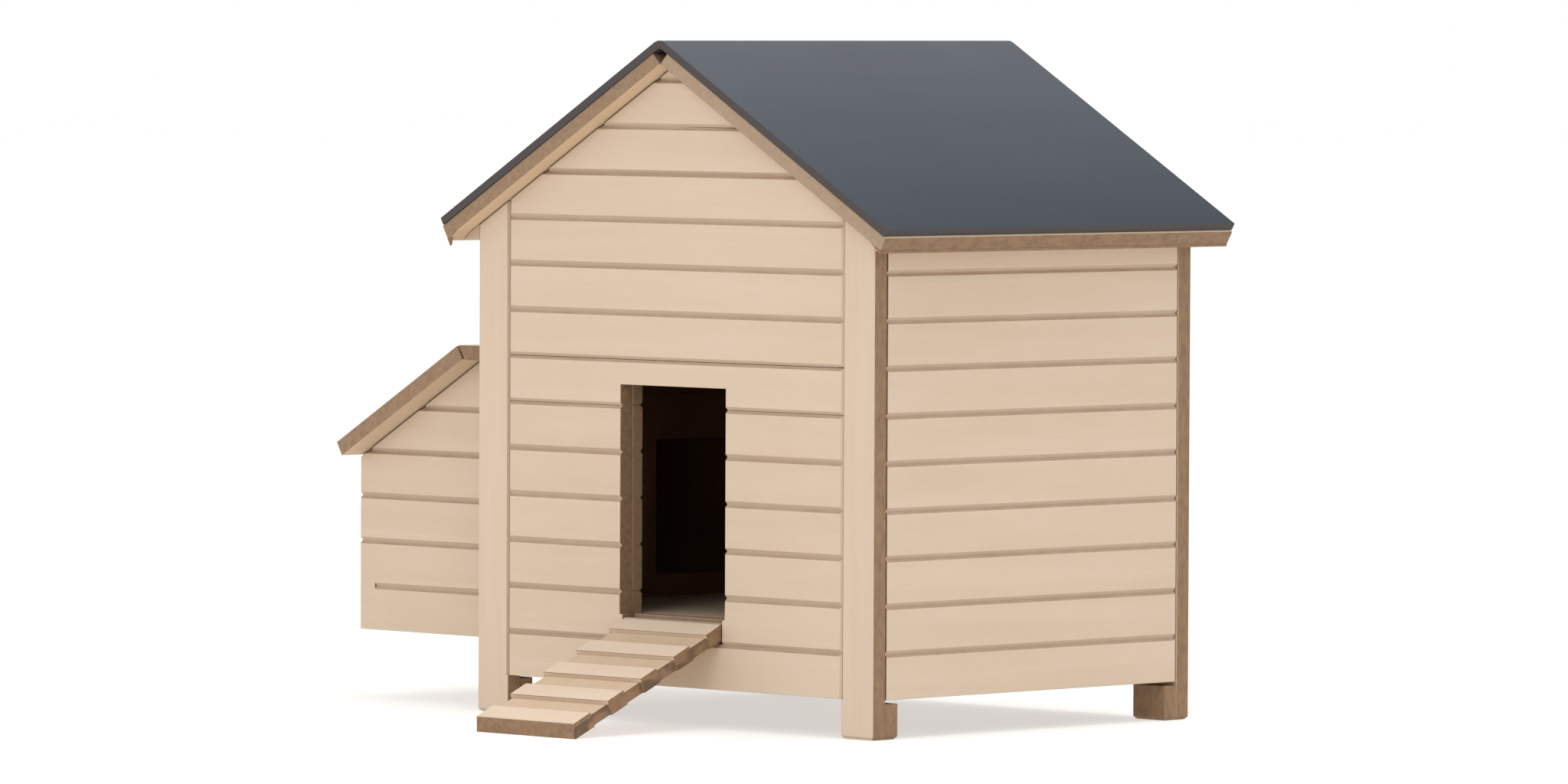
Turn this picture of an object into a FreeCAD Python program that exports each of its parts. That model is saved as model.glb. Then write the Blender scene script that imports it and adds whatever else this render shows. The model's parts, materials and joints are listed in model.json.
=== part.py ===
import FreeCAD, Part
import os
from math import cos, sin, tan, radians
from FreeCAD import Vector

# Chicken coop: a gabled house of V-jointed boards on four legs, with a drawbridge ramp in the
# front gable, a nest box with a lid on the left wall and a roof whose right slope opens.
# Working frame: X = 0 on the house centre line, Y = 0 on the outer face of the front wall
# (the front faces -Y), Z = 0 on the ground.  Everything is moved to the origin at the end.

# ---- driving dimensions, millimetres ------------------------------------------------------
HOUSE_W = 1084.0          # outside width over the corner posts
HOUSE_D = 878.0           # outside depth, front face to rear face
WALL_T = 34.0             # posts and wall boards
LINING_T = 27.0           # inner skin behind the front boards
POST_W = 84.0
WALL_BOTTOM = 75.0        # lower edge of all walls
FOOT_H = 68.0             # block behind each leg
FOOT_CHAMFER = 6.0
CORNER_GAP = 4.0          # shadow gap between a side wall and the front or rear post

BOARD = 90.0              # cover width of a board
FIRST_JOINT = 162.0       # height of the lowest joint between wall boards
V_HALF = 6.25             # half width of the V between two boards
V_DEPTH = 6.5
V_END = 5.0               # bevel on a board end next to a post
TONGUE_W = 9.4
TONGUE_H = 7.5
GROOVE_W = 10.0
GROOVE_D = 8.0

HOLE_W = 289.0            # pop-hole
HOLE_BOTTOM = 209.0
HOLE_TOP = 653.0

ROOF_SLOPE = 30.2
RIDGE_Z = 1322.0          # where the two outer faces of the cover would meet
RIDGE_R = 28.0            # fold of the cover over the ridge
COVER_T = 15.0
ROOF_T = 28.0
SLOPE_LENGTH = 707.0      # along the cover, ridge to eave
BOARD_PAST_COVER = 5.0
RIDGE_V_HALF = 20.0       # half width of the gap between the roof boards, at their top
ROOF_FRONT = 38.0         # overhang past the front wall
ROOF_REAR = 48.0
COVER_PAST_BOARD = 2.0
ROOF_CLEAR = 0.4          # running clearance under the opening slope
GABLE_GAP = 3.0           # shadow gap over the outer boards of a gable
LEFT_DRIP = 5.0           # depth of the drip under the end of a roof board
RIGHT_DRIP = 7.0
DRIP_TIP = 16.0           # deeper tips at both ends of the left drip
TIP_ALONG = 11.0
TIP_LENGTH = 5.0
DRIP_LENGTH = 32.0
SOFFIT_Z = 924.0

FLOOR_T = 20.0
BEARER_W = 34.0
BEARER_H = 60.0
BATTEN = 40.0             # square inner battens
PLATE_Z = 930.0           # underside of the wall plates
PERCH = 45.0
PERCH_Z = 500.0
PERCH_XS = (235.0, 415.0)

RAMP_W = 268.0
RAMP_L = 426.0            # pivot to the lower end of the top face
RAMP_T = 30.0
RAMP_ANGLE = 23.7         # below horizontal when it stands on the ground
RAMP_PIVOT_Y = 8.0
RAMP_PIVOT_Z = 188.0
TREAD_T = 8.0
TREAD_L = 46.0
TREADS = 5
SIDE_NOTCH = 6.0
NOTCH_CLEAR = 3.0
PIN_R = 3.0
PIN_FIT = 0.05

NEST_FRONT = 93.0         # set back from the front wall
NEST_X = -984.0           # outer face of the box
NEST_T = 27.0
NEST_BOTTOM = 137.0
NEST_FIRST_JOINT = 315.0
NEST_STOPPED_V = 225.0    # stopped V in the bottom board
NEST_STOP = 42.0
NEST_FLOOR_Z = 165.0
NEST_FLOOR_T = 18.0
NEST_HOLE_ZS = (252.0, 522.0)
NEST_HOLE_EDGE = 130.0    # front edge of the first nest opening
NEST_STILE = 30.0         # wall between the two nest openings

LID_SLOPE = 30.0
LID_T = 30.0
LID_LENGTH = 406.0
LID_FRONT = 41.0          # the lid overhangs the box towards the front and the rear
LID_AXIS_X = -646.0
LID_AXIS_Z = 713.0
LID_OVER_AXIS = 1.5       # lid face above the hinge axis
TOP_BOARD_T = 29.0
HINGE_GAP = 2.6           # from the axis to each wooden end face
LEAF_T = 2.0
LEAF_L = 64.0
LEAF_DEPTH = 24.0
KNUCKLE_R = 3.5
HINGE_PIN_R = 1.5
HINGE_YS = (150.0, 664.0)

# ---- derived places -----------------------------------------------------------------------
HALF_W = HOUSE_W / 2
POST_IN = HALF_W - POST_W
WALL_IN = HALF_W - WALL_T
LINING_Y = WALL_T + LINING_T
REAR_IN = HOUSE_D - WALL_T
SLOPE = radians(ROOF_SLOPE)
UNDER_APEX = RIDGE_Z - (COVER_T + ROOF_T) / cos(SLOPE)
NEST_REAR = HOUSE_D - NEST_FRONT
NEST_INNER_X = NEST_X + NEST_T
LID_TILT = radians(LID_SLOPE)
LID_REAR = HOUSE_D - LID_FRONT
RAMP_TILT = radians(RAMP_ANGLE)
RAMP_PIVOT = Vector(0, RAMP_PIVOT_Y, RAMP_PIVOT_Z)
RAMP_NOTCH_HALF = RAMP_W / 2 + NOTCH_CLEAR

X_MIN = LID_AXIS_X - LID_LENGTH * cos(LID_TILT) - LID_OVER_AXIS * sin(LID_TILT)
X_MAX = SLOPE_LENGTH * cos(SLOPE)
Y_MIN = RAMP_PIVOT_Y - RAMP_L * cos(RAMP_TILT) - RAMP_T / 2 * sin(RAMP_TILT)
Y_MAX = HOUSE_D + ROOF_REAR + COVER_PAST_BOARD
TO_ORIGIN = Vector(-(X_MIN + X_MAX) / 2, -(Y_MIN + Y_MAX) / 2, 0)


# ---- helpers ------------------------------------------------------------------------------
def save(name, shapes):
    """Write one node: a single solid, or a group of separate solids."""
    solids = [solid for shape in shapes for solid in shape.Solids]
    shape = solids[0] if len(solids) == 1 else Part.makeCompound(solids)
    shape = shape.copy()
    shape.translate(TO_ORIGIN)
    shape.exportStep("parts/" + name + ".step")


def box(x0, x1, y0, y1, z0, z1):
    return Part.makeBox(x1 - x0, y1 - y0, z1 - z0, Vector(x0, y0, z0))


def extrude(points, along):
    wire = Part.makePolygon(points + [points[0]])
    return Part.Face(wire).extrude(along)


def prism_xz(points, y0, y1):
    return extrude([Vector(x, y0, z) for x, z in points], Vector(0, y1 - y0, 0))


def prism_yz(points, x0, x1):
    return extrude([Vector(x0, y, z) for y, z in points], Vector(x1 - x0, 0, 0))


def prism_xy(points, z0, z1):
    return extrude([Vector(x, y, z0) for x, y in points], Vector(0, 0, z1 - z0))


def mirror_x(shape):
    return shape.mirror(Vector(0, 0, 0), Vector(1, 0, 0))


def mirror_depth(shape):
    return shape.mirror(Vector(0, HOUSE_D / 2, 0), Vector(0, 1, 0))


def under_roof(x):
    """Height of a roof board's underside; the opening right slope has a running clearance."""
    return UNDER_APEX - tan(SLOPE) * abs(x) - (ROOF_CLEAR if x > 0 else 0.0)


def cylinder(radius, start, end):
    run = end - start
    return Part.makeCylinder(radius, run.Length, start, run)


def screw(head, direction, length, radius=2.0):
    """Countersunk wood screw: head flush at `head`, shank along `direction`."""
    direction = Vector(direction).normalize()
    cone = Part.makeCone(2 * radius, radius, 1.25 * radius, head, direction)
    return cone.fuse(Part.makeCylinder(radius, length, head, direction)).removeSplitter()


# ---- boards -------------------------------------------------------------------------------
def board_profile(z0, z1, thick, below, above):
    """Section of a V-jointed board as (depth from the face, height) points."""
    middle = thick / 2 + V_DEPTH / 2
    points = [(0, z0), (thick, z0)]
    if below:
        points = [(0, z0 + V_HALF), (V_DEPTH, z0)]
        points += [(middle - GROOVE_W / 2, z0), (middle - GROOVE_W / 2, z0 + GROOVE_D)]
        points += [(middle + GROOVE_W / 2, z0 + GROOVE_D), (middle + GROOVE_W / 2, z0)]
        points += [(thick, z0)]
    if not above:
        return points + [(thick, z1), (0, z1)]
    points += [(thick, z1), (middle + TONGUE_W / 2, z1), (middle + TONGUE_W / 2, z1 + TONGUE_H)]
    points += [(middle - TONGUE_W / 2, z1 + TONGUE_H), (middle - TONGUE_W / 2, z1)]
    return points + [(V_DEPTH, z1), (0, z1 - V_HALF)]


def lining_profile(z0, z1, below, above):
    """Section of a lining board, measured from its face inside the house: plain V edges."""
    low = [(0, z0 + V_HALF), (V_DEPTH, z0)] if below else [(0, z0)]
    high = [(V_DEPTH, z1), (0, z1 - V_HALF)] if above else [(0, z1)]
    return low + [(LINING_T, z0), (LINING_T, z1)] + high


def board_levels(bottom, first, top):
    """(low, high, joint below, joint above) for each board of a wall."""
    edges = [bottom, first]
    while edges[-1] + BOARD < top - V_HALF * 2:
        edges.append(edges[-1] + BOARD)
    edges.append(top)
    pairs = list(zip(edges, edges[1:]))
    return [(low, high, i > 0, i < len(pairs) - 1) for i, (low, high) in enumerate(pairs)]


def board_along_x(profile, face, inward, x0, x1):
    return prism_yz([(face + inward * t, z) for t, z in profile], x0, x1)


def board_along_y(profile, face, inward, y0, y1):
    return prism_xz([(face + inward * t, z) for t, z in profile], y0, y1)


def gable(half_width, y0, y1, gap=0.0):
    """Everything under the roof boards between two gable faces."""
    points = [(-half_width, WALL_BOTTOM), (half_width, WALL_BOTTOM)]
    points += [(half_width, under_roof(half_width) - gap), (0, UNDER_APEX - ROOF_CLEAR - gap)]
    return prism_xz(points + [(-half_width, under_roof(-half_width) - gap)], y0, y1)


# ---- front and rear gables ------------------------------------------------------------------
def post_and_foot(side):
    """Front post with its leg, and the block behind the leg; side is -1 left, +1 right."""
    outer, inner = side * HALF_W, side * POST_IN
    c = FOOT_CHAMFER
    foot = [(inner, c), (inner + side * c, 0), (outer - side * c, 0), (outer, c)]
    top = [(outer, under_roof(outer) - GABLE_GAP), (inner, under_roof(inner) - GABLE_GAP)]
    post = prism_xz(foot + top, 0, WALL_T)
    post = post.cut(prism_yz([(-1, -1), (c, -1), (c, 0), (0, c), (-1, c)], -HALF_W, HALF_W))
    bevel = [(inner, -1), (inner + side * V_END, -1), (inner + side * V_END, 0), (inner, V_END)]
    post = post.cut(prism_xy(bevel, WALL_BOTTOM, RIDGE_Z))
    back = 2 * WALL_T
    block = prism_xz(foot + [(outer, FOOT_H), (inner, FOOT_H)], WALL_T, back)
    toe = [(back + 1, -1), (back - c, -1), (back - c, 0), (back, c), (back + 1, c)]
    block = block.cut(prism_yz(toe, -HALF_W, HALF_W))
    return post, block


def make_posts():
    for side, name in ((-1, "left"), (1, "right")):
        post, block = post_and_foot(side)
        save("front_" + name + "_post", [post])
        save("front_" + name + "_foot", [block])
        save("rear_" + name + "_post", [mirror_depth(post)])
        save("rear_" + name + "_foot", [mirror_depth(block)])


def gable_boards():
    """Boards between the posts, with bevelled ends, trimmed to the roof."""
    region = gable(POST_IN, 0, WALL_T, GABLE_GAP)
    for side in (-1, 1):
        x = side * POST_IN
        bevel = [(x, -1), (x - side * V_END, -1), (x - side * V_END, 0), (x, V_END)]
        region = region.cut(prism_xy(bevel, 0, RIDGE_Z))
    boards = []
    for low, high, below, above in board_levels(WALL_BOTTOM, FIRST_JOINT, UNDER_APEX):
        profile = board_profile(low, high, WALL_T, below, above)
        board = board_along_x(profile, 0, 1, -POST_IN, POST_IN)
        boards.append(board.common(region))
    return boards


def pop_hole(y0, y1):
    return box(-HOLE_W / 2, HOLE_W / 2, y0, y1, HOLE_BOTTOM, HOLE_TOP)


def make_front(pins):
    notch = box(-RAMP_NOTCH_HALF, RAMP_NOTCH_HALF, -1, WALL_T + 1, FIRST_JOINT, HOLE_BOTTOM + 1)
    opening = pop_hole(-1, WALL_T + 1).fuse(notch)
    boards = [board.cut(opening) for board in gable_boards()]
    boards = [board.cut(Part.makeCompound(pins)) for board in boards]
    head = [board for board in boards if board.BoundBox.ZMin < HOLE_TOP < board.BoundBox.ZMax]
    save("door_head_board", head)
    save("front_wall_boards", [board for board in boards if board not in head])


def make_rear():
    save("rear_wall_boards", [mirror_depth(board) for board in gable_boards()])


def make_lining():
    region = gable(WALL_IN, WALL_T, LINING_Y)
    plain, sill, head = [], [], []
    for low, high, below, above in board_levels(WALL_BOTTOM, FIRST_JOINT, UNDER_APEX):
        profile = lining_profile(low, high, below, above)
        board = board_along_x(profile, LINING_Y, -1, -WALL_IN, WALL_IN).common(region)
        board = board.cut(pop_hole(WALL_T - 1, LINING_Y + 1))
        group = sill if low < HOLE_BOTTOM < high else head if low < HOLE_TOP < high else plain
        group.append(board)
    save("front_lining_boards", plain)
    save("lining_sill_board", sill)
    save("lining_head_board", head)


# ---- side walls -----------------------------------------------------------------------------
def side_wall(side, openings):
    y0, y1 = WALL_T + CORNER_GAP, REAR_IN - CORNER_GAP
    outer, inner = side * HALF_W, side * WALL_IN
    region = [(outer, WALL_BOTTOM), (inner, WALL_BOTTOM)]
    region += [(inner, under_roof(inner)), (outer, under_roof(outer))]
    region = prism_xz(region, y0, y1)
    boards = []
    for low, high, below, above in board_levels(WALL_BOTTOM, FIRST_JOINT, under_roof(inner)):
        profile = board_profile(low, high, WALL_T, below, above)
        board = board_along_y(profile, outer, -side, y0, y1).common(region)
        for opening in openings:
            board = board.cut(opening)
        boards.append(board)
    return boards


def nest_openings():
    z0, z1 = NEST_HOLE_ZS
    middle = HOUSE_D / 2
    spans = [(NEST_HOLE_EDGE, middle - NEST_STILE / 2)]
    spans += [(middle + NEST_STILE / 2, HOUSE_D - NEST_HOLE_EDGE)]
    return [box(-HALF_W - 1, -WALL_IN + 1, y0, y1, z0, z1) for y0, y1 in spans]


def make_side_walls():
    save("right_wall_boards", side_wall(1, []))
    save("left_wall_boards", side_wall(-1, nest_openings()))


# ---- inner frame, floor and perches -----------------------------------------------------------
def make_frame():
    for side, name in ((-1, "left"), (1, "right")):
        x0, x1 = sorted((side * (WALL_IN - BATTEN), side * WALL_IN))
        batten = box(x0, x1, LINING_Y, LINING_Y + BATTEN, HOLE_BOTTOM, PLATE_Z)
        save("front_" + name + "_corner_batten", [batten])
        batten = box(x0, x1, REAR_IN - BATTEN, REAR_IN, HOLE_BOTTOM, PLATE_Z)
        save("rear_" + name + "_corner_batten", [batten])
        outer, inner = side * WALL_IN, side * (WALL_IN - BATTEN)
        plate = [(outer, PLATE_Z), (inner, PLATE_Z), (inner, under_roof(inner))]
        plate = prism_xz(plate + [(outer, under_roof(outer))], LINING_Y, REAR_IN)
        save(name + "_wall_plate", [plate])


def make_ridge_beam():
    half = BATTEN / 2
    bottom = UNDER_APEX - 1.5 * BATTEN
    points = [(-half, bottom), (half, bottom), (half, under_roof(half))]
    points += [(0, UNDER_APEX - ROOF_CLEAR), (-half, under_roof(-half))]
    save("ridge_beam", [prism_xz(points, LINING_Y, REAR_IN)])


def make_gable_battens():
    battens = []
    for side in (-1, 1):
        low, high = side * (WALL_IN - BATTEN), side * BATTEN / 2
        points = [(low, under_roof(low)), (high, under_roof(high))]
        points += [(high, under_roof(high) - BATTEN), (low, under_roof(low) - BATTEN)]
        battens.append(prism_xz(points, REAR_IN - 0.75 * BATTEN, REAR_IN))
    save("rear_gable_battens", battens)


def floor_screws():
    screws = []
    for y in (LINING_Y + BEARER_W / 2, HOUSE_D / 2, REAR_IN - BEARER_W / 2):
        for x in (-420, -140, 140, 420):
            screws.append(screw(Vector(x, y, HOLE_BOTTOM), Vector(0, 0, -1), 45))
    return screws


def make_floor():
    screws = floor_screws()
    holes = Part.makeCompound(screws)
    z0 = HOLE_BOTTOM - FLOOR_T
    panel = box(-WALL_IN, WALL_IN, LINING_Y, REAR_IN, z0, HOLE_BOTTOM)
    save("floor_panel", [panel.cut(holes)])
    middle = (HOUSE_D - BEARER_W) / 2
    places = (("front", LINING_Y), ("middle", middle), ("rear", REAR_IN - BEARER_W))
    for name, y in places:
        bearer = box(-WALL_IN, WALL_IN, y, y + BEARER_W, z0 - BEARER_H, z0)
        save("floor_bearer_" + name, [bearer.cut(holes)])
    save("floor_screws", screws)


def make_perches():
    rests = []
    for x, name in zip(PERCH_XS, ("inner", "outer")):
        half = PERCH / 2
        perch = box(x - half, x + half, LINING_Y, REAR_IN, PERCH_Z, PERCH_Z + PERCH)
        top = [edge for edge in perch.Edges if edge.BoundBox.ZMin > PERCH_Z + PERCH - 1]
        top = [edge for edge in top if edge.BoundBox.YLength > PERCH * 2]
        save("perch_" + name, [perch.makeFillet(PERCH / 3, top)])
        for y0, y1 in ((LINING_Y, LINING_Y + 26), (REAR_IN - 26, REAR_IN)):
            rests.append(box(x - PERCH, x + PERCH, y0, y1, PERCH_Z - BATTEN, PERCH_Z))
    save("perch_rests", rests)


# ---- roof -------------------------------------------------------------------------------------
def on_slope(along, deep):
    """Point of the right slope: `along` the cover from the ridge, `deep` below its face."""
    x = along * cos(SLOPE) - deep * sin(SLOPE)
    return x, RIDGE_Z - along * sin(SLOPE) - deep * cos(SLOPE)


def cover_section(gap):
    """Right half of the folded cover, its ridge end on the plane X = gap."""
    def arc(radius):
        centre = RIDGE_Z - RIDGE_R / cos(SLOPE)
        tilt = SLOPE / 2
        start = Vector(0, 0, centre + radius)
        middle = Vector(radius * sin(tilt), 0, centre + radius * cos(tilt))
        end = Vector(radius * sin(SLOPE), 0, centre + radius * cos(SLOPE))
        return start, middle, end
    outer, inner = arc(RIDGE_R), arc(RIDGE_R - COVER_T)
    eave = [Vector(x, 0, z) for x, z in (on_slope(SLOPE_LENGTH, 0), on_slope(SLOPE_LENGTH, COVER_T))]
    edges = [Part.Arc(*outer).toShape(), Part.makeLine(outer[2], eave[0])]
    edges += [Part.makeLine(eave[0], eave[1]), Part.makeLine(eave[1], inner[2])]
    edges += [Part.Arc(*inner).toShape(), Part.makeLine(inner[0], outer[0])]
    face = Part.Face(Part.Wire(Part.__sortEdges__(edges)))
    keep = box(gap, 2 * HALF_W, -HOUSE_D, 2 * HOUSE_D, 0, 2 * RIDGE_Z)
    y0 = -ROOF_FRONT - COVER_PAST_BOARD
    face.translate(Vector(0, y0, 0))
    return face.extrude(Vector(0, Y_MAX - y0, 0)).common(keep)


def make_roof():
    end = SLOPE_LENGTH + BOARD_PAST_COVER
    y0, y1 = -ROOF_FRONT, HOUSE_D + ROOF_REAR
    deep = COVER_T + ROOF_T
    under_ridge = UNDER_APEX
    top_at_gap = RIDGE_Z - COVER_T / cos(SLOPE) - RIDGE_V_HALF * tan(SLOPE)
    section = [(0.2, under_ridge - 0.2 * tan(SLOPE)), (RIDGE_V_HALF, top_at_gap)]
    board = prism_xz(section + [on_slope(end, COVER_T), on_slope(end, deep)], y0, y1)

    def drip(depth):
        root = on_slope(end - DRIP_LENGTH, deep)
        return prism_xz([on_slope(end, deep), on_slope(end, deep + depth), root], y0, y1)

    tip_root = deep + LEFT_DRIP * (1 - TIP_ALONG / DRIP_LENGTH)
    tip = [on_slope(end, deep + LEFT_DRIP), on_slope(end, deep + DRIP_TIP)]
    tip.append(on_slope(end - TIP_ALONG, tip_root))
    tips = [prism_xz(tip, y, y + TIP_LENGTH) for y in (y0, y1 - TIP_LENGTH)]
    low, high = 90.0, 500.0
    section = [on_slope(low, deep), on_slope(high, deep)]
    section += [on_slope(high, deep + 25), on_slope(low, deep + 25)]
    battens = [prism_xz(section, y, y + BATTEN) for y in (200.0, HOUSE_D - 200.0 - BATTEN)]
    save("right_roof_board", [board])
    save("left_roof_board", [mirror_x(board)])
    save("right_roof_cover", [cover_section(0.2)])
    save("left_roof_cover", [mirror_x(cover_section(0.0))])
    save("right_eave_drip", [drip(RIGHT_DRIP)])
    save("left_eave_drip", [mirror_x(piece) for piece in [drip(LEFT_DRIP)] + tips])
    save("right_roof_battens", battens)
    save("left_roof_battens", [mirror_x(batten) for batten in battens])


def make_soffits():
    """Fillets that close the corner between a side wall and the eave."""
    end, deep = SLOPE_LENGTH + BOARD_PAST_COVER, COVER_T + ROOF_T
    root_x, root_z = on_slope(end - DRIP_LENGTH, deep)
    for side, name, depth in ((-1, "left", LEFT_DRIP), (1, "right", RIGHT_DRIP)):
        tip_x, tip_z = on_slope(end, deep + depth)
        lean = (tip_x - root_x) / (tip_z - root_z)
        edge_x = tip_x + lean * (SOFFIT_Z - tip_z) - 1.5
        inner_x = edge_x + lean * (root_z - SOFFIT_Z)
        points = [(HALF_W, SOFFIT_Z), (edge_x, SOFFIT_Z)]
        points += [(inner_x, UNDER_APEX - tan(SLOPE) * inner_x - ROOF_CLEAR)]
        points += [(HALF_W, UNDER_APEX - tan(SLOPE) * HALF_W - ROOF_CLEAR)]
        points = [(side * x, z) for x, z in points]
        save(name + "_soffit", [prism_xz(points, 0, HOUSE_D)])


# ---- ramp -------------------------------------------------------------------------------------
def ramp_box(u0, u1, half_width, w0, w1):
    """Box in ramp terms: u runs down from the pivot, w is up from the pivot's level."""
    return box(-half_width, half_width, RAMP_PIVOT_Y - u1, RAMP_PIVOT_Y - u0,
               RAMP_PIVOT_Z + w0, RAMP_PIVOT_Z + w1)


def lowered(shape):
    """Turn a piece of the level ramp down to the ground; trim it level there and plumb at its end."""
    shape = shape.copy()
    shape.rotate(RAMP_PIVOT, Vector(1, 0, 0), RAMP_ANGLE)
    return shape.common(box(-HALF_W, HALF_W, Y_MIN, HOUSE_D, 0, RIDGE_Z))


def ramp_pins(radius):
    start, end = RAMP_W / 2 - 44, RAMP_NOTCH_HALF + 24
    pins = []
    for side in (-1, 1):
        a = RAMP_PIVOT + Vector(side * start, 0, 0)
        pins.append(cylinder(radius, a, RAMP_PIVOT + Vector(side * end, 0, 0)))
    return pins


def make_ramp():
    half_t = RAMP_T / 2
    pitch = (RAMP_L - TREAD_L) / (TREADS - 1)
    nose = cylinder(half_t, RAMP_PIVOT + Vector(-RAMP_W / 2, 0, 0), RAMP_PIVOT + Vector(RAMP_W / 2, 0, 0))
    nose = nose.common(ramp_box(-RAMP_T, 0, RAMP_W, -RAMP_T, RAMP_T))
    run = RAMP_L + RAMP_T
    plank = nose.fuse(ramp_box(0, run, RAMP_W / 2, -half_t, half_t - TREAD_T)).removeSplitter()
    cleats, screws = [], []
    for i in range(TREADS):
        u = i * pitch
        end = u + TREAD_L if i < TREADS - 1 else run
        cleat = ramp_box(u, end, RAMP_W / 2, half_t - TREAD_T, half_t)
        cleats.append(cleat)
        if i < TREADS - 1:
            for side in (-1, 1):
                gap = ramp_box(u + TREAD_L, u + pitch, SIDE_NOTCH, -RAMP_T, RAMP_T)
                gap.translate(Vector(side * RAMP_W / 2, 0, 0))
                plank = plank.cut(gap)
        for x in (-90, 90):
            y = RAMP_PIVOT_Y - u - TREAD_L / 2
            screws.append(screw(Vector(x, y, RAMP_PIVOT_Z - half_t), Vector(0, 0, 1), 27))
    holes = Part.makeCompound(screws + ramp_pins(PIN_R + PIN_FIT))
    save("ramp_plank", [lowered(plank.cut(holes))])
    save("ramp_cleats", [lowered(cleat.cut(holes)) for cleat in cleats])
    save("ramp_screws", [lowered(piece) for piece in screws])


# ---- nest box ---------------------------------------------------------------------------------
def lid_point(u, w):
    """Point in lid terms: u down the slope from the hinge axis, w up from the axis."""
    x = LID_AXIS_X - u * cos(LID_TILT) - w * sin(LID_TILT)
    return x, LID_AXIS_Z - u * sin(LID_TILT) + w * cos(LID_TILT)


def lid_prism(u0, u1, w0, w1, y0, y1):
    corners = [(u0, w0), (u1, w0), (u1, w1), (u0, w1)]
    return prism_xz([lid_point(u, w) for u, w in corners], y0, y1)


def under_lid(clear, y0, y1):
    """The space of the nest box below the lid and the fixed top board."""
    top = LID_AXIS_Z + LID_OVER_AXIS - TOP_BOARD_T
    w = LID_OVER_AXIS - LID_T - clear
    turn = (LID_AXIS_Z + w * cos(LID_TILT) - top) / sin(LID_TILT)
    end = lid_point(LID_LENGTH + BOARD, w)
    points = [(-HALF_W, 0), (-HALF_W, top), lid_point(turn, w), end, (end[0], 0)]
    return prism_xz(points, y0, y1)


def nest_boards(profile_face, inward):
    """Front or rear boards of the box; the bottom one has a stopped V across its face."""
    thick = (profile_face, profile_face + inward * NEST_T)
    region = under_lid(GABLE_GAP, min(thick), max(thick))
    top = LID_AXIS_Z + LID_OVER_AXIS - TOP_BOARD_T
    boards = []
    for low, high, below, above in board_levels(NEST_BOTTOM, NEST_FIRST_JOINT, top):
        profile = board_profile(low, high, NEST_T, below, above)
        boards.append(board_along_x(profile, profile_face, inward, NEST_X, -HALF_W).common(region))
    v = [(-1, V_HALF), (0, V_HALF), (V_DEPTH, 0), (0, -V_HALF), (-1, -V_HALF)]
    v = [(profile_face + inward * t, NEST_STOPPED_V + z) for t, z in v]
    boards[0] = boards[0].cut(prism_yz(v, NEST_X + NEST_STOP, -HALF_W + 1))
    return boards


def nest_outer_boards():
    y0, y1 = NEST_FRONT + NEST_T, NEST_REAR - NEST_T
    region = under_lid(0.4, y0, y1)
    top = lid_point(LID_LENGTH, -LID_T)[1] + LID_T / 2
    boards = []
    for low, high, below, above in board_levels(NEST_BOTTOM, NEST_FIRST_JOINT, top):
        profile = board_profile(low, high, NEST_T, below, above)
        boards.append(board_along_y(profile, NEST_X, 1, y0, y1).common(region))
    return [board for board in boards if board.Volume > 0]


def make_nest():
    y0, y1 = NEST_FRONT + NEST_T, NEST_REAR - NEST_T
    save("nest_front_boards", nest_boards(NEST_FRONT, 1))
    save("nest_rear_boards", nest_boards(NEST_REAR, -1))
    save("nest_outer_boards", nest_outer_boards())
    floor_top = NEST_FLOOR_Z + NEST_FLOOR_T
    save("nest_floor", [box(NEST_INNER_X, -HALF_W, y0, y1, NEST_FLOOR_Z, floor_top)])
    side = NEST_FLOOR_Z - NEST_BOTTOM
    battens = [box(NEST_INNER_X, -HALF_W, y, y + side, NEST_BOTTOM, NEST_FLOOR_Z)
               for y in (y0, y1 - side)]
    save("nest_floor_battens", battens)
    middle, half = HOUSE_D / 2, NEST_FLOOR_T / 2
    divider = box(NEST_INNER_X, -HALF_W, middle - half, middle + half, floor_top, HALF_W * 2)
    save("nest_divider", [divider.common(under_lid(3.0, 0, HOUSE_D))])


def hinge_parts(y, pin_radius):
    """One butt hinge starting at y: fixed half, moving half, pin."""
    knuckle = LEAF_L / 5
    axis = Vector(LID_AXIS_X, y, LID_AXIS_Z)
    along = Vector(0, 1, 0)
    near, far = HINGE_GAP - LEAF_T, HINGE_GAP
    halves = []
    for sign, owns in ((-1, (0, 2, 4)), (1, (1, 3))):
        u0, u1 = sorted((sign * near, sign * far))
        half = lid_prism(u0, u1, -LEAF_DEPTH, -KNUCKLE_R - 0.4, y, y + LEAF_L)
        for i in owns:
            start = y + i * knuckle + 0.1
            length = knuckle - 0.2
            ring = Part.makeCylinder(KNUCKLE_R, length, axis + along * (start - y), along)
            web = lid_prism(u0, u1, -KNUCKLE_R - 1, 0, start, start + length)
            half = half.fuse(ring).fuse(web)
        bore = pin_radius + (PIN_FIT if sign > 0 else 0.0)
        halves.append(half.cut(Part.makeCylinder(bore, LEAF_L, axis, along)).removeSplitter())
    pin = Part.makeCylinder(pin_radius, LEAF_L, axis, along)
    return halves[0], halves[1], pin


def leaf_screws(y, sign):
    """Countersunk screws through one leaf into the wooden end face."""
    head = sign * (HINGE_GAP - LEAF_T)
    direction = Vector(-sign * cos(LID_TILT), 0, -sign * sin(LID_TILT))
    screws = []
    for offset in (12.0, LEAF_L / 2, LEAF_L - 12.0):
        x, z = lid_point(head, -LEAF_DEPTH / 2 - 2)
        screws.append(screw(Vector(x, y + offset, z), direction, 20, 1.4))
    return screws


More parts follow.
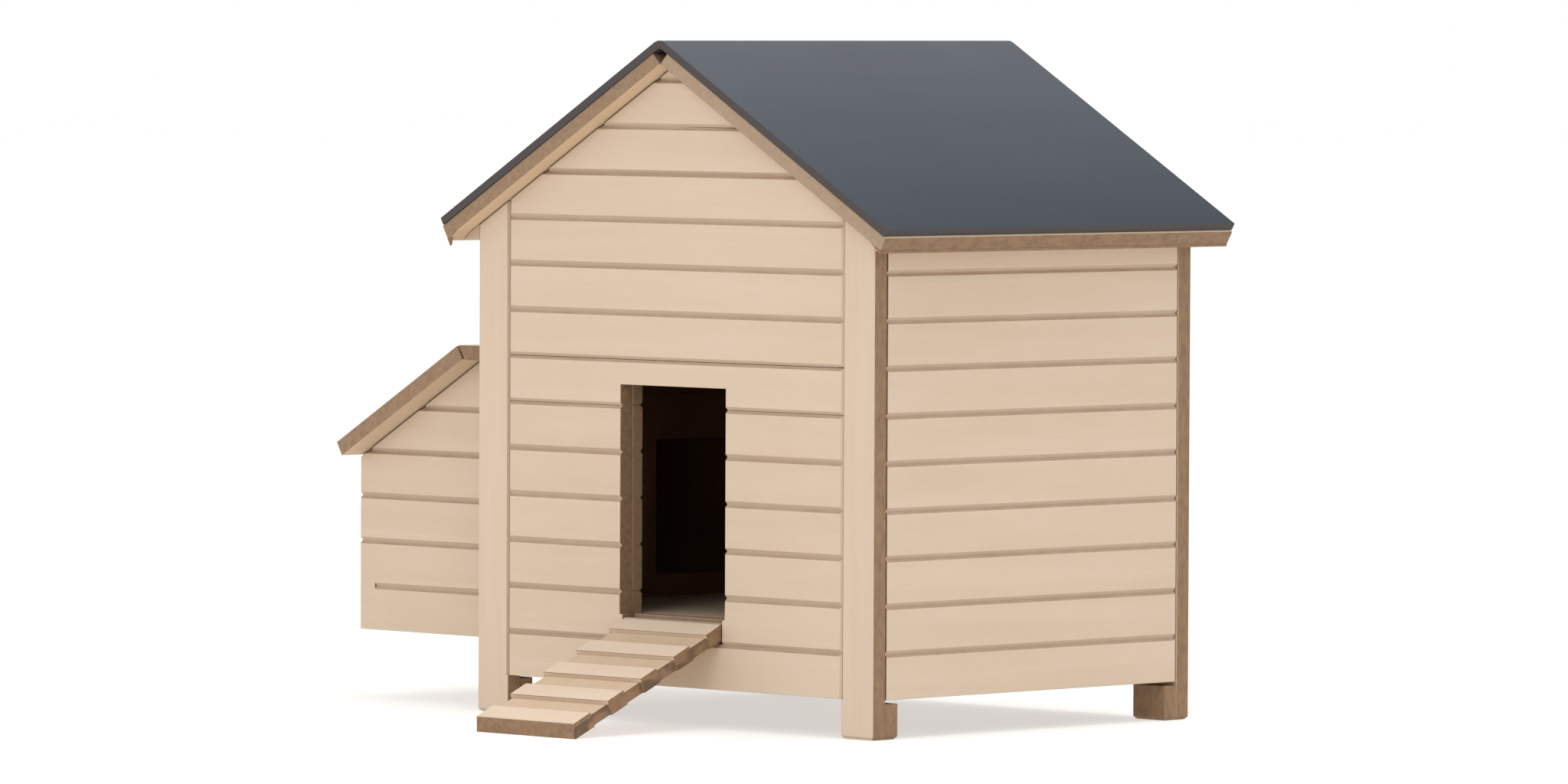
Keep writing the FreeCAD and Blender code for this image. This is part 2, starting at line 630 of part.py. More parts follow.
def make_lid():
    lid = lid_prism(HINGE_GAP, LID_LENGTH, LID_OVER_AXIS - LID_T, LID_OVER_AXIS, LID_FRONT, LID_REAR)
    top = LID_AXIS_Z + LID_OVER_AXIS
    face = [lid_point(-HINGE_GAP, w) for w in (LID_T, -LID_T * 2)]
    board = [(-HALF_W, top + LID_T), face[0], face[1], (-HALF_W, face[1][1])]
    board = prism_xz(board, LID_FRONT, LID_REAR)
    board = board.common(box(2 * NEST_X, -HALF_W, LID_FRONT, LID_REAR, top - TOP_BOARD_T, top))
    fixed, moving, pins, fixed_screws, lid_screws = [], [], [], [], []
    for y in HINGE_YS:
        leaf_a, leaf_b, pin = hinge_parts(y, HINGE_PIN_R)
        fixed.append(leaf_a)
        moving.append(leaf_b)
        pins.append(pin)
        fixed_screws += leaf_screws(y, -1)
        lid_screws += leaf_screws(y, 1)
        axis = Vector(LID_AXIS_X, y - 0.5, LID_AXIS_Z)
        mortise = Part.makeCylinder(KNUCKLE_R + 0.4, LEAF_L + 1, axis, Vector(0, 1, 0))
        lid, board = lid.cut(mortise), board.cut(mortise)
    save("nest_lid", [lid.cut(Part.makeCompound(lid_screws))])
    save("nest_top_board", [board.cut(Part.makeCompound(fixed_screws))])
    save("nest_hinge_fixed_leaves", [leaf.cut(Part.makeCompound(fixed_screws)) for leaf in fixed])
    save("nest_hinge_lid_leaves", [leaf.cut(Part.makeCompound(lid_screws)) for leaf in moving])
    save("nest_hinge_pins", pins)
    save("nest_hinge_fixed_screws", fixed_screws)
    save("nest_hinge_lid_screws", lid_screws)
    under = LID_OVER_AXIS - LID_T
    battens = [lid_prism(60, 320, under - 20, under, y, y + BATTEN)
               for y in (200.0, HOUSE_D - 200.0 - BATTEN)]
    save("nest_lid_battens", battens)


def main():
    os.makedirs("parts", exist_ok=True)
    make_posts()
    pins = ramp_pins(PIN_R)
    save("ramp_pins", pins)
    make_front(pins)
    make_rear()
    make_lining()
    make_side_walls()
    make_frame()
    make_ridge_beam()
    make_gable_battens()
    make_floor()
    make_perches()
    make_roof()
    make_soffits()
    make_ramp()
    make_nest()
    make_lid()


main()
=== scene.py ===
import json
import math
import random

import bmesh
import bpy
from mathutils import Matrix, Vector


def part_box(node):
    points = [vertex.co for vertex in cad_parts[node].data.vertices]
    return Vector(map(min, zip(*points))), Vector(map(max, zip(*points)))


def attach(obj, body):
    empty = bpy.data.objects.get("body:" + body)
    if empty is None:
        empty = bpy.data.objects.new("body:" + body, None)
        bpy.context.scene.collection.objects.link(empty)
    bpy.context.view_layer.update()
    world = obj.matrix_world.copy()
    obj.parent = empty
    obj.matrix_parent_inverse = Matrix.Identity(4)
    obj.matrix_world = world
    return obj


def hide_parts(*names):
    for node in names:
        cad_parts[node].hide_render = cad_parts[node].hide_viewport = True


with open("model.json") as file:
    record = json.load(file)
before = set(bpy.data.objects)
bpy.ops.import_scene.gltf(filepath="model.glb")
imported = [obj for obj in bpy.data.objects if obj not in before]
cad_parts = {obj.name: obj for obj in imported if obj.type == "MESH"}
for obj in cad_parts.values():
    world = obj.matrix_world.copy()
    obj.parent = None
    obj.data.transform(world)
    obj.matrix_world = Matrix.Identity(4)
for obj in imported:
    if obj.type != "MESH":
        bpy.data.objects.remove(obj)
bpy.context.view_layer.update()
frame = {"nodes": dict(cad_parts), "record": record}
NODES = frame["nodes"]
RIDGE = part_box("ridge_beam")
MIDDLE_X = (RIDGE[0].x + RIDGE[1].x) / 2
NODE_BODY = {node: body for body, members in frame["record"]["behaviour"]["bodies"].items()
             for node in members}
random.seed(7)

# ---- driving values, metres ------------------------------------------------------------------
ROOF_SLOPE = math.radians(30.2)
LID_SLOPE = math.radians(30.0)
RAMP_SLOPE = math.radians(23.7)
V_DEPTH = 0.0065              # depth of the V between two wall boards
LIP_DEPTH = 0.0012            # depth at which the side of a V leaves its rounded lip
EDGE_ROUND = 0.0016           # worn rounding of a wooden edge
EDGE_LENGTH = 0.012           # shorter edges stay sharp
EDGE_ANGLE = math.radians(20)
FELT_ROUND = 0.003
LIP_STAIN_AND_SHADE = {"up": 1.0, "down": 0.5}      # stain at the lip of a V, with painted shade: heavier on the side that looks up into the lamps
DEEP_STAIN_AND_SHADE = {"up": 0.3, "down": 0.0}     # stain at the bottom of a V, with the same painted shade on the side that looks up
SOFT_CUT = 0.12               # stain on the risers of the ramp's treads
LINING_END_CUT = 0.93
LID_END_CUT = 0.93
SOFFIT_END_CUT = 0.3
DRIP_CUT = 0.75
# painted shade: the sill board seen through the pop-hole is browned all over, for the shade above the
# ramp
SILL_SHADE = 0.75
RECESS_SHADE_SPOTS = 0.8                    # strength of the dark spots on the ramp plank's flanks: painted shade of the recesses between the treads
RIM_WEAR_AND_HIGHLIGHT = 0.4                # how far a rounded rim is rubbed pale; partly real wear and partly a painted highlight along the rim

# ---- how faces are told apart, as cosines ------------------------------------------------------
PLANED = 0.9                  # nearer than this to the face's normal: a planed face
SAWN_END = 0.9                # nearer than this to the grain: a sawn end
UNDER = 0.85                  # nearer than this to straight below: the underside
LEANING = 0.3                 # further from a direction than this: the face doesn't look that way
PLUMB = 0.99
SEAM_STAINS = {"left": 0.7, "right": 0.15}     # the seam beside a left post is the browner one
ROOF_CUTS = {"left": 0.92, "right": 0.7}        # how brown the ends of the roof boards are

AZIMUTH = math.radians(44.948)
ELEVATION = math.radians(2.217)
ROLL = math.radians(0.253)
CAMERA_DISTANCE = 19.133
TARGET_FROM_CORNER = Vector((-0.1383, -0.1016, 0.6574))    # from the foot of the front right corner
LENS = 232.87

X, Y, Z = Vector((1, 0, 0)), Vector((0, 1, 0)), Vector((0, 0, 1))
RIGHT_SLOPE_UP = Vector((math.sin(ROOF_SLOPE), 0, math.cos(ROOF_SLOPE)))
LEFT_SLOPE_UP = Vector((-math.sin(ROOF_SLOPE), 0, math.cos(ROOF_SLOPE)))
LID_UP = Vector((-math.sin(LID_SLOPE), 0, math.cos(LID_SLOPE)))
LID_DOWN_SLOPE = Vector((-math.cos(LID_SLOPE), 0, -math.sin(LID_SLOPE)))
RAMP_UP = Vector((0, -math.sin(RAMP_SLOPE), math.cos(RAMP_SLOPE)))
RAMP_DOWN_SLOPE = Vector((0, -math.cos(RAMP_SLOPE), -math.sin(RAMP_SLOPE)))

# ---- colours, linear ---------------------------------------------------------------------------
PALE = (0.635, 0.505, 0.385)
PALE_DEEP = (0.570, 0.437, 0.318)
# painted shade and light on the ramp: the plank between the treads is darker, the treads lighter than
# the wall wood
PLANK_SHADE = (0.560, 0.420, 0.295)
PLANK_SHADE_DEEP = (0.500, 0.365, 0.245)
TREAD_LIT = (0.660, 0.530, 0.410)
TREAD_LIT_DEEP = (0.590, 0.460, 0.340)
CUT = (0.290, 0.180, 0.100)
CUT_DARK = (0.205, 0.120, 0.064)
# the darkest brown: the floor's cut edges, and the painted shade in the ramp's recesses
SCORCH_AND_RECESS_SHADE = (0.105, 0.065, 0.042)
JOINT = (0.420, 0.305, 0.222)
# painted shade: wood inside the house is painted near black
INSIDE_SHADE = (0.200, 0.090, 0.042)
INSIDE_SHADE_DEEP = (0.130, 0.052, 0.024)
# painted light: a warmer tone for faces that look down, standing in for light bounced up under them
UNDERSIDE_WARM_LIGHT = (0.650, 0.480, 0.315)
BOARDS_LIT = (0.560, 0.430, 0.310)
BOARDS_WORN = (0.430, 0.315, 0.215)
FELT = (0.068, 0.076, 0.091)
FELT_DARK = (0.050, 0.057, 0.069)
FELT_EDGE = (0.062, 0.053, 0.050)
FELT_SHEEN_EAVE_TINT = (0.27, 0.34, 0.43)     # painted sheen: tint of the felt at the eave, darker and bluer than at the ridge
ZINC = (0.52, 0.52, 0.50)
ZINC_STAIN = (0.36, 0.33, 0.29)
FLOOR = (0.45, 0.45, 0.445)
FLOOR_GLOW = 0.56             # the floor is a lit table, so its shadows stay soft
FLOOR_GLOW_COLOUR = (1.0, 0.985, 0.965)

# ---- material helpers ----------------------------------------------------------------------------
class Graph:
    """A small wrapper that adds and links shader nodes."""

    def __init__(self, name):
        self.material = bpy.data.materials.new(name)
        self.material.use_nodes = True
        self.tree = self.material.node_tree
        self.shader = self.tree.nodes["Principled BSDF"]

    def add(self, kind, **values):
        node = self.tree.nodes.new(kind)
        for key, value in values.items():
            setattr(node, key, value)
        return node

    def link(self, source, target):
        self.tree.links.new(source, target)

    def attribute(self, name):
        return self.add("ShaderNodeAttribute", attribute_name=name)

    def scaled(self, vector, scale):
        node = self.add("ShaderNodeVectorMath", operation="MULTIPLY")
        self.link(vector, node.inputs[0])
        node.inputs[1].default_value = scale
        return node.outputs[0]

    def noise(self, vector, scale, detail=3.0, roughness=0.55, distortion=0.0):
        node = self.add("ShaderNodeTexNoise")
        self.link(vector, node.inputs["Vector"])
        node.inputs["Scale"].default_value = scale
        node.inputs["Detail"].default_value = detail
        node.inputs["Roughness"].default_value = roughness
        node.inputs["Distortion"].default_value = distortion
        return node.outputs["Fac"]

    def remap(self, value, low, high, to_low=0.0, to_high=1.0):
        node = self.add("ShaderNodeMapRange")
        self.link(value, node.inputs["Value"])
        node.inputs["From Min"].default_value = low
        node.inputs["From Max"].default_value = high
        node.inputs["To Min"].default_value = to_low
        node.inputs["To Max"].default_value = to_high
        return node.outputs["Result"]

    def math(self, operation, a, b):
        node = self.add("ShaderNodeMath", operation=operation)
        for slot, value in zip(node.inputs, (a, b)):
            if isinstance(value, (int, float)):
                slot.default_value = value
            else:
                self.link(value, slot)
        return node.outputs[0]

    def mix(self, factor, a, b, blend="MIX"):
        node = self.add("ShaderNodeMix", data_type="RGBA", blend_type=blend)
        if isinstance(factor, float):
            node.inputs[0].default_value = factor
        else:
            self.link(factor, node.inputs[0])
        colours = [socket for socket in node.inputs if socket.type == "RGBA"]
        for slot, value in zip(colours, (a, b)):
            if isinstance(value, tuple):
                slot.default_value = (*value, 1.0)
            else:
                self.link(value, slot)
        return next(socket for socket in node.outputs if socket.type == "RGBA")

    def bump(self, height, distance, strength, normal=None):
        node = self.add("ShaderNodeBump")
        self.link(height, node.inputs["Height"])
        node.inputs["Distance"].default_value = distance
        node.inputs["Strength"].default_value = strength
        if normal is not None:
            self.link(normal, node.inputs["Normal"])
        return node.outputs["Normal"]


def wood_material(name, light, deep, cut, cut_dark, spots=0.0):
    """Planed softwood.  The mesh attributes say where its faces, cut edges and joints are, and where
    shade and light are painted on it.
    """
    g = Graph(name)
    place = g.attribute("wood").outputs["Vector"]
    tone = g.attribute("tone").outputs["Fac"]
    fibre = g.noise(g.scaled(place, (3.0, 60.0, 60.0)), 6.0, 5.0, 0.6)
    rings = g.noise(g.scaled(place, (0.5, 11.0, 11.0)), 2.2, 2.0, 0.5, 0.6)
    blotch = g.noise(place, 5.0, 3.0, 0.5)
    weave = g.noise(g.scaled(place, (260.0, 40.0, 40.0)), 2.0, 2.0, 0.5)
    shade = g.math("MULTIPLY", g.remap(fibre, 0.3, 0.7), 0.30)
    shade = g.math("ADD", shade, g.math("MULTIPLY", g.remap(rings, 0.35, 0.65), 0.34))
    shade = g.math("ADD", shade, g.math("MULTIPLY", g.remap(blotch, 0.3, 0.7), 0.22))
    shade = g.math("ADD", shade, g.math("MULTIPLY", g.remap(weave, 0.3, 0.7), 0.14))
    shade = g.math("ADD", shade, g.remap(tone, 0.0, 1.0, -0.16, 0.16))
    face = g.mix(shade, light, deep)
    scorch = g.noise(g.scaled(place, (40.0, 90.0, 90.0)), 1.0, 4.0, 0.6)
    edge = g.mix(g.remap(scorch, 0.3, 0.7), cut, cut_dark)
    if spots > 0.0:
        # painted shade: dark spots on the flanks, for the recesses between the treads
        recess_noise = g.noise(g.scaled(place, (14.0, 22.0, 22.0)), 1.0, 2.0, 0.5)
        recess_shade = g.math("MULTIPLY", g.remap(recess_noise, 0.44, 0.54, 0.0, spots),
                       g.attribute("flank").outputs["Fac"])
        edge = g.mix(recess_shade, edge, SCORCH_AND_RECESS_SHADE)
    joint_stain = g.noise(g.scaled(place, (18.0, 60.0, 60.0)), 1.0, 3.0, 0.6)
    joint = g.mix(g.remap(joint_stain, 0.3, 0.7, 0.0, 0.55), JOINT, cut)
    # painted shade: faces that look into the house take the near-black inside colour
    inside_shade = g.mix(g.remap(blotch, 0.3, 0.7), INSIDE_SHADE, INSIDE_SHADE_DEEP)
    # rims are rubbed pale, which is partly real wear and partly a painted highlight
    worn_and_highlit = g.mix(g.math("MULTIPLY", g.attribute("rim").outputs["Fac"], RIM_WEAR_AND_HIGHLIGHT), face, light)
    colour = g.mix(g.attribute("cut").outputs["Fac"], worn_and_highlit, edge)
    # painted light: faces that look down take the warmer underside tone
    colour = g.mix(g.attribute("under").outputs["Fac"], colour, UNDERSIDE_WARM_LIGHT)
    # the V's own dark stain, together with the painted shade on its upward side
    colour = g.mix(g.attribute("joint").outputs["Fac"], colour, joint)
    colour = g.mix(g.attribute("inside").outputs["Fac"], colour, inside_shade)
    g.link(colour, g.shader.inputs["Base Color"])
    g.link(g.remap(fibre, 0.3, 0.7, 0.58, 0.74), g.shader.inputs["Roughness"])
    g.shader.inputs["Specular IOR Level"].default_value = 0.3
    height = g.math("ADD", g.math("MULTIPLY", fibre, 0.6), g.math("MULTIPLY", weave, 0.4))
    g.link(g.bump(height, 0.0004, 0.35), g.shader.inputs["Normal"])
    return g.material


def felt_material():
    """Slate-coloured mineral felt: granules, soft weathering, a painted sheen that darkens it towards
    the eave, browner at the cut edges.
    """
    g = Graph("mineral_felt")
    place = g.attribute("wood").outputs["Vector"]
    granules = g.noise(place, 900.0, 2.0, 0.7)
    weather = g.noise(place, 2.2, 4.0, 0.55)
    streaks = g.noise(g.scaled(place, (1.0, 7.0, 7.0)), 3.0, 3.0, 0.5)
    shade = g.math("ADD", g.math("MULTIPLY", g.remap(granules, 0.3, 0.7), 0.35),
                   g.math("MULTIPLY", g.remap(weather, 0.3, 0.7), 0.45))
    shade = g.math("ADD", shade, g.math("MULTIPLY", g.remap(streaks, 0.3, 0.7), 0.20))
    colour = g.mix(shade, FELT, FELT_DARK)
    # painted sheen: the felt is lighter at the ridge and darker, bluer towards the eave
    height = g.add("ShaderNodeSeparateXYZ")
    g.link(g.add("ShaderNodeTexCoord").outputs["Object"], height.inputs[0])
    low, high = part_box("right_roof_cover")
    sheen_tint = g.mix(g.remap(height.outputs["Z"], low.z, high.z), FELT_SHEEN_EAVE_TINT, (1.0, 1.0, 1.0))
    colour = g.mix(1.0, colour, sheen_tint, "MULTIPLY")
    colour = g.mix(g.attribute("cut").outputs["Fac"], colour, FELT_EDGE)
    g.link(colour, g.shader.inputs["Base Color"])
    g.link(g.remap(granules, 0.3, 0.7, 0.62, 0.85), g.shader.inputs["Roughness"])
    g.shader.inputs["Specular IOR Level"].default_value = 0.35
    g.link(g.bump(granules, 0.0006, 0.35), g.shader.inputs["Normal"])
    return g.material


def zinc_material():
    g = Graph("zinc_plate")
    place = g.add("ShaderNodeTexCoord").outputs["Object"]
    spangle = g.noise(place, 260.0, 3.0, 0.6)
    stain = g.noise(place, 60.0, 3.0, 0.6)
    colour = g.mix(g.remap(stain, 0.45, 0.75), ZINC, ZINC_STAIN)
    g.link(colour, g.shader.inputs["Base Color"])
    g.shader.inputs["Metallic"].default_value = 1.0
    g.link(g.remap(spangle, 0.3, 0.7, 0.28, 0.5), g.shader.inputs["Roughness"])
    g.link(g.bump(spangle, 0.0001, 0.3), g.shader.inputs["Normal"])
    return g.material


def floor_material():
    g = Graph("pale_floor")
    place = g.add("ShaderNodeTexCoord").outputs["Object"]
    speck = g.noise(place, 30.0, 3.0, 0.5)
    colour = g.mix(g.remap(speck, 0.3, 0.7), FLOOR, tuple(0.985 * c for c in FLOOR))
    g.link(colour, g.shader.inputs["Base Color"])
    g.shader.inputs["Roughness"].default_value = 0.9
    g.shader.inputs["Specular IOR Level"].default_value = 0.1
    g.shader.inputs["Emission Color"].default_value = (*FLOOR_GLOW_COLOUR, 1.0)
    g.shader.inputs["Emission Strength"].default_value = FLOOR_GLOW
    return g.material


# ---- wooden pieces ---------------------------------------------------------------------------------
def cleaned(mesh):
    """Merged and flat-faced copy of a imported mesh."""
    bm = bmesh.new()
    bm.from_mesh(mesh)
    bmesh.ops.remove_doubles(bm, verts=bm.verts, dist=1e-6)
    bmesh.ops.dissolve_limit(bm, angle_limit=math.radians(0.6), verts=bm.verts, edges=bm.edges)
    return bm


def loose_parts(bm):
    """Lists of vertices, one list per separate solid, in a fixed order."""
    bm.verts.index_update()
    seen, parts = set(), []
    for first in bm.verts:
        if first.index in seen:
            continue
        seen.add(first.index)
        part, stack = [], [first]
        while stack:
            vert = stack.pop()
            part.append(vert)
            for edge in vert.link_edges:
                other = edge.other_vert(vert)
                if other.index not in seen:
                    seen.add(other.index)
                    stack.append(other)
        parts.append(part)
    return parts


def round_edges(bm, radius, seat=None):
    """Rounds the long convex edges and returns the new faces; a piece stays sharp round its seat."""
    def seated(edge):
        return seat is not None and any(face.normal.dot(seat) > 0.9 for face in edge.link_faces)
    def wanted(edge):
        return (len(edge.link_faces) == 2 and edge.is_convex and edge.calc_length() > EDGE_LENGTH
                and edge.calc_face_angle(0.0) > EDGE_ANGLE and not seated(edge))
    edges = [edge for edge in bm.edges if wanted(edge)]
    made = bmesh.ops.bevel(bm, geom=edges, offset=radius, offset_type="OFFSET", segments=2,
                           profile=0.5, affect="EDGES", clamp_overlap=True)
    return set(made["faces"])


def wood_frame(grain, face):
    """Rows: along the grain, across it on the face, into the face."""
    across = face.cross(grain).normalized()
    return Matrix((grain.normalized(), across, face.normalized()))


class Finish:
    """How a piece of wood lies and how it is stained.

    `grain` runs along it and `face` is the normal of its planed faces.  `outward` is given for
    V-jointed boards: the way they look, so that the V between two boards can be told from the rest.
    `inside` looks into the dark house, whose shade is painted onto the wood, and `soft_cut` is the
    normal of cut edges that stay light.
    `always_cut` and `end_cut` say how brown the whole piece and its sawn ends are; a third value says
    how strongly the underside is painted with a warm light.  A `seated` piece lies flat on another
    one."""

    def __init__(self, grain, face, outward=None, inside=None, soft_cut=None, always_cut=0.0,
                 end_cut=1.0, under=0.0, seated=False):
        self.grain = grain
        self.face = face
        self.outward = outward
        self.inside = inside
        self.soft_cut = soft_cut
        self.always_cut = always_cut
        self.end_cut = end_cut
        self.under = under
        self.seat = -face if seated else None

    def is_chamfer(self, normal):
        return self.outward is not None and LEANING < normal.dot(self.outward) < PLANED

    def cut(self, normal):
        """How brown a face is: sawn ends and edges are, planed faces aren't."""
        if self.is_chamfer(normal):
            return self.always_cut
        stain = 0.0
        if abs(normal.dot(self.face)) < PLANED:
            stain = self.end_cut if abs(normal.dot(self.grain)) > SAWN_END else 1.0
        soft = self.soft_cut is not None and abs(normal.dot(self.soft_cut)) > LEANING
        if soft and normal.dot(-Y) < PLUMB:
            stain = SOFT_CUT
        return max(self.always_cut, stain)

    def marks(self, normal, in_rim):
        """The values that are the same at every corner of a face."""
        # painted shade: faces that look into the house are marked for the near-black colour
        indoors = self.inside is not None and normal.dot(self.inside) > LEANING
        return {"cut": self.cut(normal),
                "rim": 1.0 if in_rim else 0.0,
                "inside": 1.0 if indoors else 0.0,
                # painted warm light on a face that looks down
                "under": self.under if normal.dot(self.face) < -UNDER else 0.0,
                "flank": 1.0 if abs(normal.x) > PLANED else 0.0}


def chamfer_stain_and_shade(bm_face, depth):
    """How brown the V between two boards is, with painted shade that makes the side looking up darker
    than the one looking down; the plumb seams at the right posts stay pale.
    """
    if depth <= 0.0:
        return 0.0
    if abs(bm_face.normal.z) < LEANING:
        return SEAM_STAINS["left" if bm_face.calc_center_median().x < MIDDLE_X else "right"]
    # painted shade: the upward side of a level V, which the lamps light, is stained heavier than the
    # downward side
    way = "up" if bm_face.normal.z > 0 else "down"
    share = min(1.0, max(0.0, (depth - LIP_DEPTH) / (V_DEPTH - LIP_DEPTH)))
    return LIP_STAIN_AND_SHADE[way] + (DEEP_STAIN_AND_SHADE[way] - LIP_STAIN_AND_SHADE[way]) * share


def mark_parts(bm, outward):
    """Gives each board its tone, its own stretch of grain and the level of its face."""
    tone_layer = bm.verts.layers.float.new("tone")
    shift_layer = bm.verts.layers.float_vector.new("shift")
    level_layer = bm.verts.layers.float.new("level")
    for part in loose_parts(bm):
        tone = random.random()
        shift = Vector((random.uniform(-9, 9) for _ in range(3)))
        level = max((vert.co.dot(outward) for vert in part), default=0.0) if outward else 0.0
        for vert in part:
            vert[tone_layer] = tone
            vert[shift_layer] = shift
            vert[level_layer] = level


def mark_faces(bm, finish, rims):
    """Writes what each face is, for the wood's material to read."""
    level_layer = bm.verts.layers.float["level"]
    layers = {name: bm.loops.layers.float.new(name)
              for name in ("cut", "joint", "rim", "inside", "under", "flank")}
    for bm_face in bm.faces:
        marks = finish.marks(bm_face.normal, bm_face in rims)
        for loop in bm_face.loops:
            depth = 0.0
            if finish.is_chamfer(bm_face.normal):
                depth = loop.vert[level_layer] - loop.vert.co.dot(finish.outward)
            loop[layers["joint"]] = chamfer_stain_and_shade(bm_face, depth)
            for name, value in marks.items():
                loop[layers[name]] = value
        bm_face.smooth = bm_face in rims


def finish_piece(node, material, slot, grain, face, radius=EDGE_ROUND, **stains):
    """Replaces a node by a copy with rounded edges that carries the wood's attributes."""
    finish = Finish(grain, face, **stains)
    bm = cleaned(NODES[node].data)
    mark_parts(bm, finish.outward)
    rims = round_edges(bm, radius, finish.seat)
    turn = wood_frame(grain, face)
    place_layer = bm.verts.layers.float_vector.new("wood")
    shift_layer = bm.verts.layers.float_vector["shift"]
    for vert in bm.verts:
        vert[place_layer] = turn @ vert.co + vert[shift_layer]
    mark_faces(bm, finish, rims)
    bm.verts.layers.float_vector.remove(bm.verts.layers.float_vector["shift"])
    bm.verts.layers.float.remove(bm.verts.layers.float["level"])
    mesh = bpy.data.meshes.new("look_" + node)
    bm.to_mesh(mesh)
    bm.free()
    mesh.materials.append(material)
    piece = bpy.data.objects.new("look_" + node, mesh)
    bpy.context.scene.collection.objects.link(piece)
    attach(piece, NODE_BODY[node])
    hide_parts(node)
    return piece


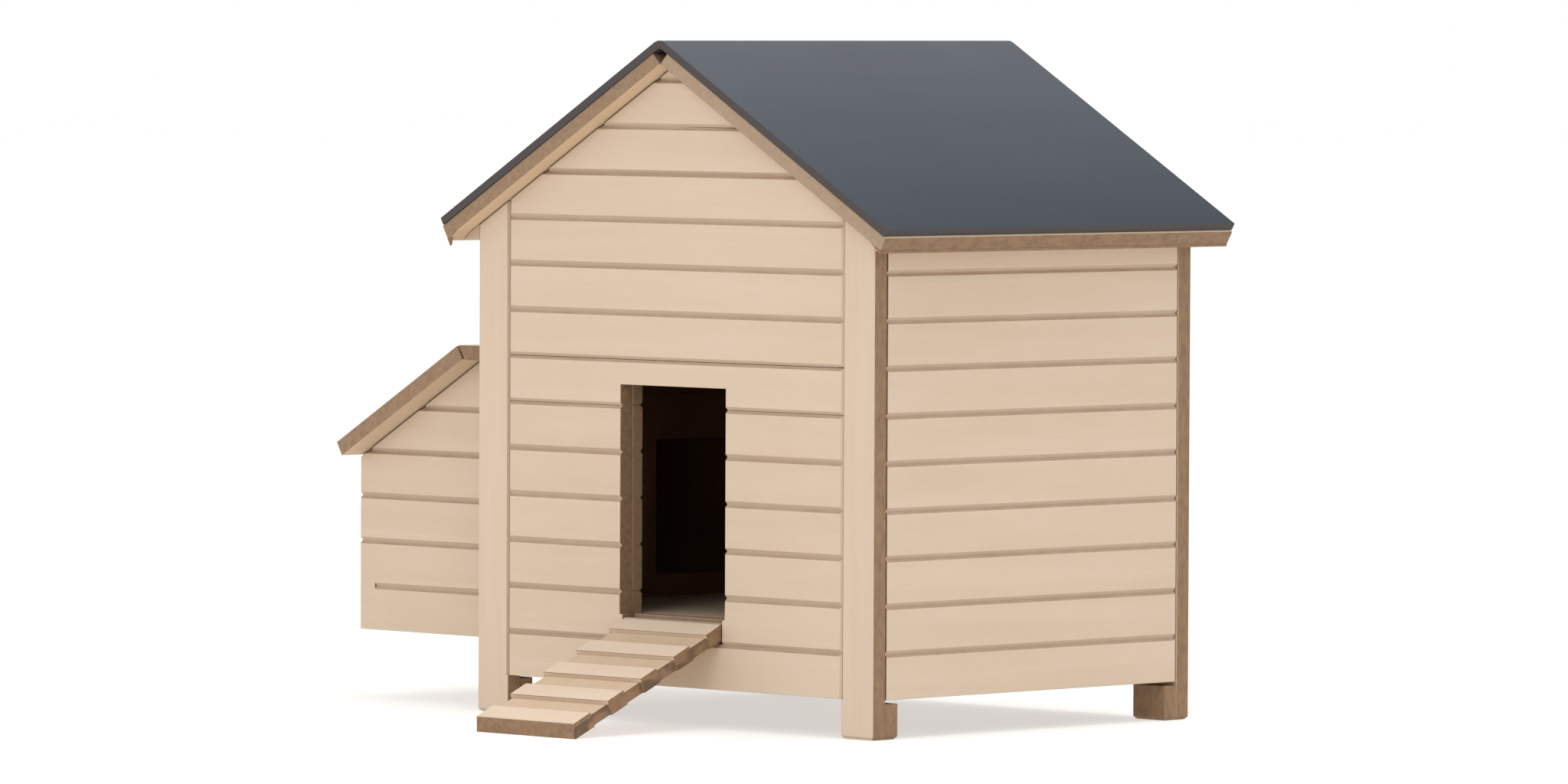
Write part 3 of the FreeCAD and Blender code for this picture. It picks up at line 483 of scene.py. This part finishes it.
def build_pieces():
    wall = wood_material("planed_pine", PALE, PALE_DEEP, CUT, CUT_DARK)
    # painted shade on the plank between the treads and painted light on the treads
    ramp = wood_material("ramp_pine", PLANK_SHADE, PLANK_SHADE_DEEP, CUT, CUT_DARK, spots=RECESS_SHADE_SPOTS)
    tread = wood_material("tread_pine", TREAD_LIT, TREAD_LIT_DEEP, CUT, CUT_DARK)
    # painted shade: the pieces inside the house are painted near black all over
    inner = wood_material("inside_shade_pine", INSIDE_SHADE, INSIDE_SHADE_DEEP, INSIDE_SHADE_DEEP, INSIDE_SHADE_DEEP)
    boards = wood_material("floor_pine", BOARDS_LIT, BOARDS_WORN, CUT_DARK, SCORCH_AND_RECESS_SHADE)
    felt = felt_material()
    zinc = zinc_material()
    for end, outward in (("front", -Y), ("rear", Y)):
        for side in ("left", "right"):
            finish_piece(f"{end}_{side}_post", wall, "wall_wood", Z, Y, outward=outward)
            finish_piece(f"{end}_{side}_foot", wall, "wall_wood", Z, Y, always_cut=1.0)
            finish_piece(f"{end}_{side}_corner_batten", inner, "inner_wood", Z, X)
    for node in ("front_wall_boards", "door_head_board", "nest_front_boards"):
        finish_piece(node, wall, "wall_wood", X, Y, outward=-Y, inside=Y)
    for node in ("rear_wall_boards", "nest_rear_boards"):
        finish_piece(node, wall, "wall_wood", X, Y, outward=Y, inside=-Y)
    finish_piece("right_wall_boards", wall, "wall_wood", Y, X, outward=X, inside=-X)
    for node in ("left_wall_boards", "nest_outer_boards"):
        finish_piece(node, wall, "wall_wood", Y, X, outward=-X, inside=X)
    # the roof boards, drips and soffits below, and the lid after them, carry painted warm light on
    # their undersides
    for side, up in (("left", LEFT_SLOPE_UP), ("right", RIGHT_SLOPE_UP)):
        finish_piece(f"{side}_roof_board", wall, "wall_wood", Y, up, end_cut=ROOF_CUTS[side],
                     under=1.0)
        finish_piece(f"{side}_roof_cover", felt, "roof_felt", Y, up, radius=FELT_ROUND)
        finish_piece(f"{side}_roof_battens", inner, "inner_wood", up.cross(Y), up)
        finish_piece(f"{side}_eave_drip", wall, "wall_wood", Y, up, always_cut=DRIP_CUT,
                     under=0.9)
        finish_piece(f"{side}_soffit", wall, "wall_wood", Y, Z, end_cut=SOFFIT_END_CUT,
                     under=0.5)
        finish_piece(f"{side}_wall_plate", inner, "inner_wood", Y, X)
    finish_piece("nest_lid", wall, "wall_wood", Y, LID_UP, end_cut=LID_END_CUT,
                 under=0.6)
    finish_piece("nest_top_board", wall, "wall_wood", Y, Z)
    finish_piece("nest_lid_battens", inner, "inner_wood", LID_DOWN_SLOPE, LID_UP)
    finish_piece("ramp_plank", ramp, "wall_wood", RAMP_DOWN_SLOPE, RAMP_UP)
    finish_piece("ramp_cleats", tread, "wall_wood", X, RAMP_UP, soft_cut=RAMP_DOWN_SLOPE,
                 seated=True)
    # the sill board's brown is painted shade over the top of the ramp
    for node, stain in (("front_lining_boards", 0.0), ("lining_sill_board", SILL_SHADE),
                        ("lining_head_board", 0.0)):
        finish_piece(node, wall, "inner_wood", X, Y, inside=Y, end_cut=LINING_END_CUT,
                     always_cut=stain)
    for node in ("floor_bearer_front", "floor_bearer_middle", "floor_bearer_rear"):
        finish_piece(node, inner, "inner_wood", X, Y)
    for node in ("perch_inner", "perch_outer", "perch_rests", "ridge_beam"):
        finish_piece(node, inner, "inner_wood", Y, Z)
    finish_piece("floor_panel", boards, "inner_wood", X, Z)
    finish_piece("nest_floor", boards, "inner_wood", Y, Z)
    finish_piece("nest_floor_battens", inner, "inner_wood", X, Z)
    finish_piece("nest_divider", inner, "inner_wood", X, Y)
    finish_piece("rear_gable_battens", inner, "inner_wood", X, Y)
    for node, obj in NODES.items():
        if any(word in node for word in ("screws", "pins", "hinge")):
            for slot in obj.material_slots:
                slot.material = zinc


# ---- stage, light and camera -----------------------------------------------------------------------
def build_stage():
    half = 60.0
    mesh = bpy.data.meshes.new("stage_floor")
    corners = [(-half, -half, 0), (half, -half, 0), (half, half, 0), (-half, half, 0)]
    mesh.from_pydata(corners, [], [(0, 1, 2, 3)])
    mesh.materials.append(floor_material())
    floor = bpy.data.objects.new("stage_floor", mesh)
    bpy.context.scene.collection.objects.link(floor)


def area_light(name, place, target, size, power):
    data = bpy.data.lights.new(name, "AREA")
    data.shape = "DISK"
    data.size = size
    data.energy = power
    light = bpy.data.objects.new(name, data)
    light.location = place
    light.rotation_euler = (target - place).to_track_quat("-Z", "Y").to_euler()
    bpy.context.scene.collection.objects.link(light)


def build_lights():
    scene = bpy.context.scene
    scene.world = bpy.data.worlds.new("studio")
    scene.world.use_nodes = True
    background = scene.world.node_tree.nodes["Background"]
    background.inputs["Color"].default_value = (1.0, 1.0, 1.0, 1.0)
    background.inputs["Strength"].default_value = 1.0
    target = Vector((0.1, 0.0, 0.6))
    area_light("key", Vector((3.0, -7.0, 5.0)), target, 3.5, 90.0)
    area_light("top", Vector((1.0, 0.5, 8.0)), target, 5.0, 310.0)
    scene.view_settings.view_transform = "Standard"


def build_camera():
    data = bpy.data.cameras.new("camera")
    data.lens = LENS
    data.clip_end = 400.0
    camera = bpy.data.objects.new("camera", data)
    look = Vector((-math.sin(AZIMUTH) * math.cos(ELEVATION), math.cos(AZIMUTH) * math.cos(ELEVATION),
                   -math.sin(ELEVATION)))
    low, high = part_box("front_right_post")
    camera.location = Vector((high.x, low.y, 0)) + TARGET_FROM_CORNER - look * CAMERA_DISTANCE
    level = look.to_track_quat("-Z", "Y").to_matrix().to_4x4()
    camera.rotation_euler = (level @ Matrix.Rotation(ROLL, 4, "Z")).to_euler()
    bpy.context.scene.collection.objects.link(camera)
    bpy.context.scene.camera = camera


build_pieces()
build_stage()
build_lights()
build_camera()
